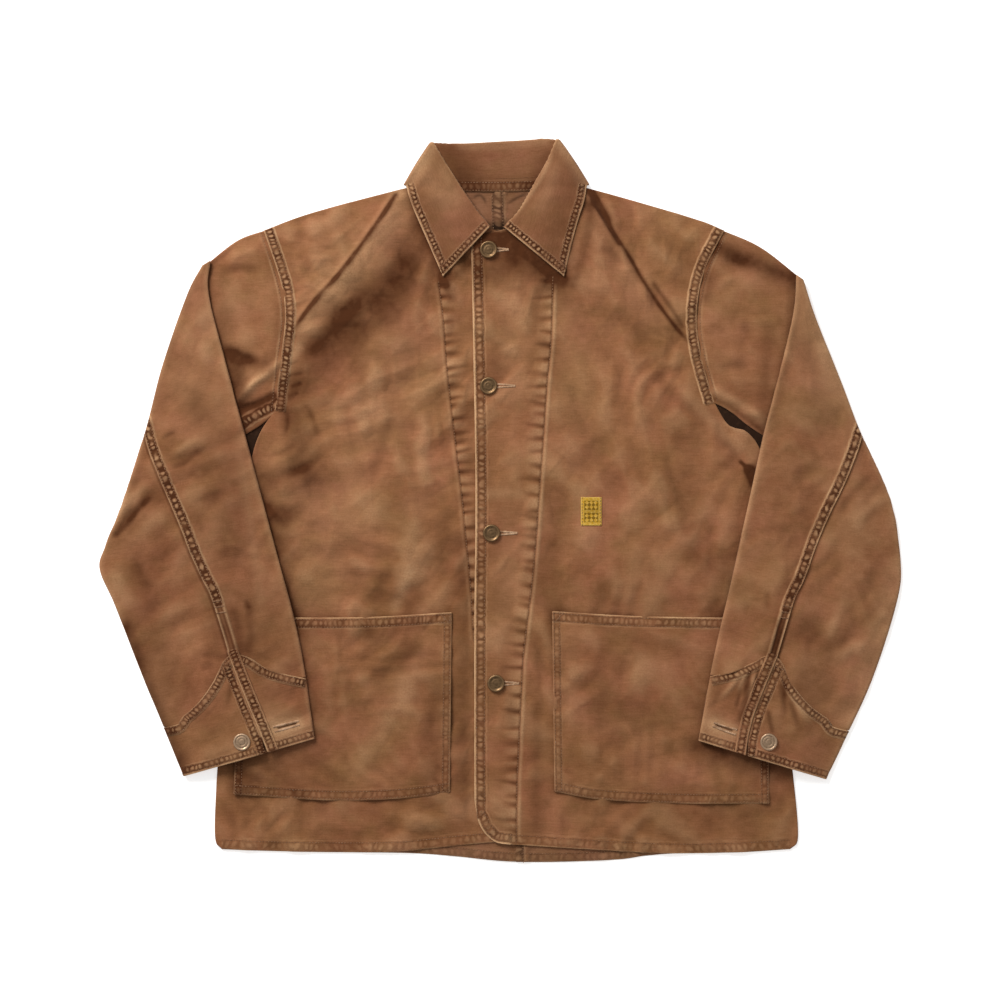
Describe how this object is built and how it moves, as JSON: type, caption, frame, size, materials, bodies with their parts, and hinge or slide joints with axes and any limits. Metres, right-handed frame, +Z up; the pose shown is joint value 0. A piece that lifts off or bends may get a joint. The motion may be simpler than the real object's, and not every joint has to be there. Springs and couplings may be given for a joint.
{
  "type": "chore jacket",
  "caption": "Unlined work jacket of washed brown duck, laid flat on its back, with a turned-down collar, patch pockets, tack buttons and folded-down sleeves.",
  "frame": {"origin": "under the middle of the outline, on the surface the jacket lies on", "axes": "+X to the wearer's left, across the sleeves; +Y from the hem to the collar; +Z up from the surface the jacket lies on"},
  "size_m": [0.8449, 0.7658, 0.0139],
  "materials": {
    "duck": "washed brown cotton duck, matte, worn pale at the edges",
    "duck_inside": "inside face of the same duck, matte",
    "duck_pocket": "washed brown cotton duck, matte",
    "duck_sleeve": "washed brown cotton duck, matte",
    "duck_collar": "washed brown cotton duck, two layers, matte, worn pale at the edges",
    "woven_label": "plain gold and brown weave",
    "old_bronze": "dull aged bronze, worn",
    "pale_bronze": "pale aged bronze, worn"
  },
  "bodies": {
    "root": {"back_left": "duck_inside", "back_right": "duck_inside", "collar": "duck_collar", "cuff_button_left": "pale_bronze", "cuff_button_right": "pale_bronze", "cuff_left": "duck_sleeve", "cuff_right": "duck_sleeve", "front_button_1": "old_bronze", "front_button_2": "old_bronze", "front_button_3": "old_bronze", "front_button_4": "old_bronze", "front_left": "duck", "front_right": "duck", "label": "woven_label", "pocket_left": "duck_pocket", "pocket_right": "duck_pocket", "sleeve_head_left": "duck_sleeve", "sleeve_head_right": "duck_sleeve", "top_sleeve_left": "duck_sleeve", "top_sleeve_right": "duck_sleeve", "under_sleeve_left": "duck_sleeve", "under_sleeve_right": "duck_sleeve", "vent_placket_left": "duck_sleeve", "vent_placket_right": "duck_sleeve"}
  },
  "joints": []
}
